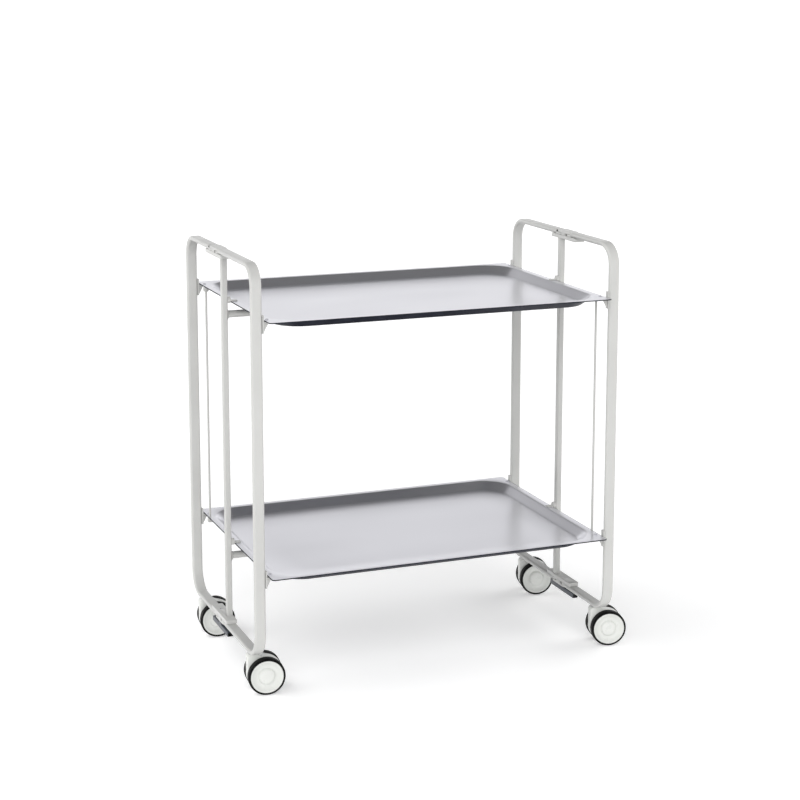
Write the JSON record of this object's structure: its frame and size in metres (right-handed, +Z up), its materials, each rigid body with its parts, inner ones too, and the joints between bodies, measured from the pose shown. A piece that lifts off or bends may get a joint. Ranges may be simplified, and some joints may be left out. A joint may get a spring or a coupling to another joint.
{
  "type": "rolling salon trolley",
  "caption": "Rolling trolley: pressed trays between bent flat-tube end frames that hinge on a centre frame, standing on swivelling twin-wheel casters.",
  "frame": {"origin": "on the floor, under the middle of the overall box with the casters trailing towards +X", "axes": "+X along the trays towards the right end frame, +Y from the front to the rear, +Z up"},
  "size_m": [0.6973, 0.432, 0.717],
  "materials": {
    "frame_paint": "satin white powder coat",
    "tray_paint": "fine satin silver-grey lacquer",
    "rivet_steel": "painted over with the tray",
    "lock_paint": "dark grey",
    "black_plastic": "moulded",
    "white_plastic": "moulded, slightly glossy",
    "tyre_black": "soft tread",
    "bright_steel": "turned"
  },
  "bodies": {
    "centre_frame": {"upper_tray": "tray_paint", "lower_tray": "tray_paint", "post_left": "frame_paint", "post_right": "frame_paint", "crossbar_upper": "frame_paint", "crossbar_lower": "frame_paint", "tray_knuckles_upper": "frame_paint", "tray_knuckles_lower": "frame_paint", "link_rod_left_rear": "frame_paint", "link_rod_right_front": "frame_paint", "rod_clips": "frame_paint", "tray_rivets": "rivet_steel", "hinge_block_top_left": "frame_paint", "hinge_plate_top_left": "frame_paint", "hinge_block_bottom_left": "frame_paint", "hinge_plate_bottom_left": "frame_paint", "hinge_block_top_right": "frame_paint", "hinge_plate_top_right": "frame_paint", "hinge_block_bottom_right": "frame_paint", "hinge_plate_bottom_right": "frame_paint", "hinge_pins": "bright_steel", "lock_bar_left": "lock_paint", "lock_bar_right": "lock_paint", "lock_bar_plugs": "black_plastic"},
    "half_front_left": {"half_frame_front_left": "frame_paint", "hinge_leaves_front_left": "frame_paint", "corner_brackets_front_left": "frame_paint", "caster_socket_front_left": "bright_steel"},
    "caster_front_left": {"caster_hood_front_left": "white_plastic"},
    "wheels_front_left": {"wheel_hubs_front_left": "white_plastic", "tyres_front_left": "tyre_black", "axle_front_left": "bright_steel"},
    "half_rear_left": {"half_frame_rear_left": "frame_paint", "hinge_leaves_rear_left": "frame_paint", "corner_brackets_rear_left": "frame_paint", "caster_socket_rear_left": "bright_steel"},
    "caster_rear_left": {"caster_hood_rear_left": "white_plastic"},
    "wheels_rear_left": {"wheel_hubs_rear_left": "white_plastic", "tyres_rear_left": "tyre_black", "axle_rear_left": "bright_steel"},
    "half_rear_right": {"half_frame_rear_right": "frame_paint", "hinge_leaves_rear_right": "frame_paint", "corner_brackets_rear_right": "frame_paint", "caster_socket_rear_right": "bright_steel"},
    "caster_rear_right": {"caster_hood_rear_right": "white_plastic"},
    "wheels_rear_right": {"wheel_hubs_rear_right": "white_plastic", "tyres_rear_right": "tyre_black", "axle_rear_right": "bright_steel"},
    "half_front_right": {"half_frame_front_right": "frame_paint", "hinge_leaves_front_right": "frame_paint", "corner_brackets_front_right": "frame_paint", "caster_socket_front_right": "bright_steel"},
    "caster_front_right": {"caster_hood_front_right": "white_plastic"},
    "wheels_front_right": {"wheel_hubs_front_right": "white_plastic", "tyres_front_right": "tyre_black", "axle_front_right": "bright_steel"}
  },
  "joints": [
    {"name": "half_front_left_swing", "type": "hinge", "parent": "centre_frame", "child": "half_front_left", "pos_m": [-0.3351, 0, 0.38], "axis": [0, 0, -1], "range_deg": [0, 75]},
    {"name": "caster_front_left_swivel", "type": "hinge", "parent": "half_front_left", "child": "caster_front_left", "pos_m": [-0.3351, -0.146, 0.067], "axis": [0, 0, 1], "continuous": true},
    {"name": "wheels_front_left_spin", "type": "hinge", "parent": "caster_front_left", "child": "wheels_front_left", "pos_m": [-0.31521, -0.14809, 0.031], "axis": [0.1045, 0.9945, 0], "continuous": true},
    {"name": "half_rear_left_swing", "type": "hinge", "parent": "centre_frame", "child": "half_rear_left", "pos_m": [-0.3351, 0.036, 0.38], "axis": [0, 0, 1], "range_deg": [0, 75]},
    {"name": "caster_rear_left_swivel", "type": "hinge", "parent": "half_rear_left", "child": "caster_rear_left", "pos_m": [-0.3351, 0.146, 0.067], "axis": [0, 0, 1], "continuous": true},
    {"name": "wheels_rear_left_spin", "type": "hinge", "parent": "caster_rear_left", "child": "wheels_rear_left", "pos_m": [-0.31521, 0.14391, 0.031], "axis": [0.1045, 0.9945, 0], "continuous": true},
    {"name": "half_rear_right_swing", "type": "hinge", "parent": "centre_frame", "child": "half_rear_right", "pos_m": [0.2939, 0, 0.38], "axis": [0, 0, -1], "range_deg": [0, 75]},
    {"name": "caster_rear_right_swivel", "type": "hinge", "parent": "half_rear_right", "child": "caster_rear_right", "pos_m": [0.2939, 0.146, 0.067], "axis": [0, 0, 1], "continuous": true},
    {"name": "wheels_rear_right_spin", "type": "hinge", "parent": "caster_rear_right", "child": "wheels_rear_right", "pos_m": [0.31346, 0.14184, 0.031], "axis": [0.2079, 0.9781, 0], "continuous": true},
    {"name": "half_front_right_swing", "type": "hinge", "parent": "centre_frame", "child": "half_front_right", "pos_m": [0.2939, -0.036, 0.38], "axis": [0, 0, 1], "range_deg": [0, 75]},
    {"name": "caster_front_right_swivel", "type": "hinge", "parent": "half_front_right", "child": "caster_front_right", "pos_m": [0.2939, -0.146, 0.067], "axis": [0, 0, 1], "continuous": true},
    {"name": "wheels_front_right_spin", "type": "hinge", "parent": "caster_front_right", "child": "wheels_front_right", "pos_m": [0.31346, -0.15016, 0.031], "axis": [0.2079, 0.9781, 0], "continuous": true}
  ]
}
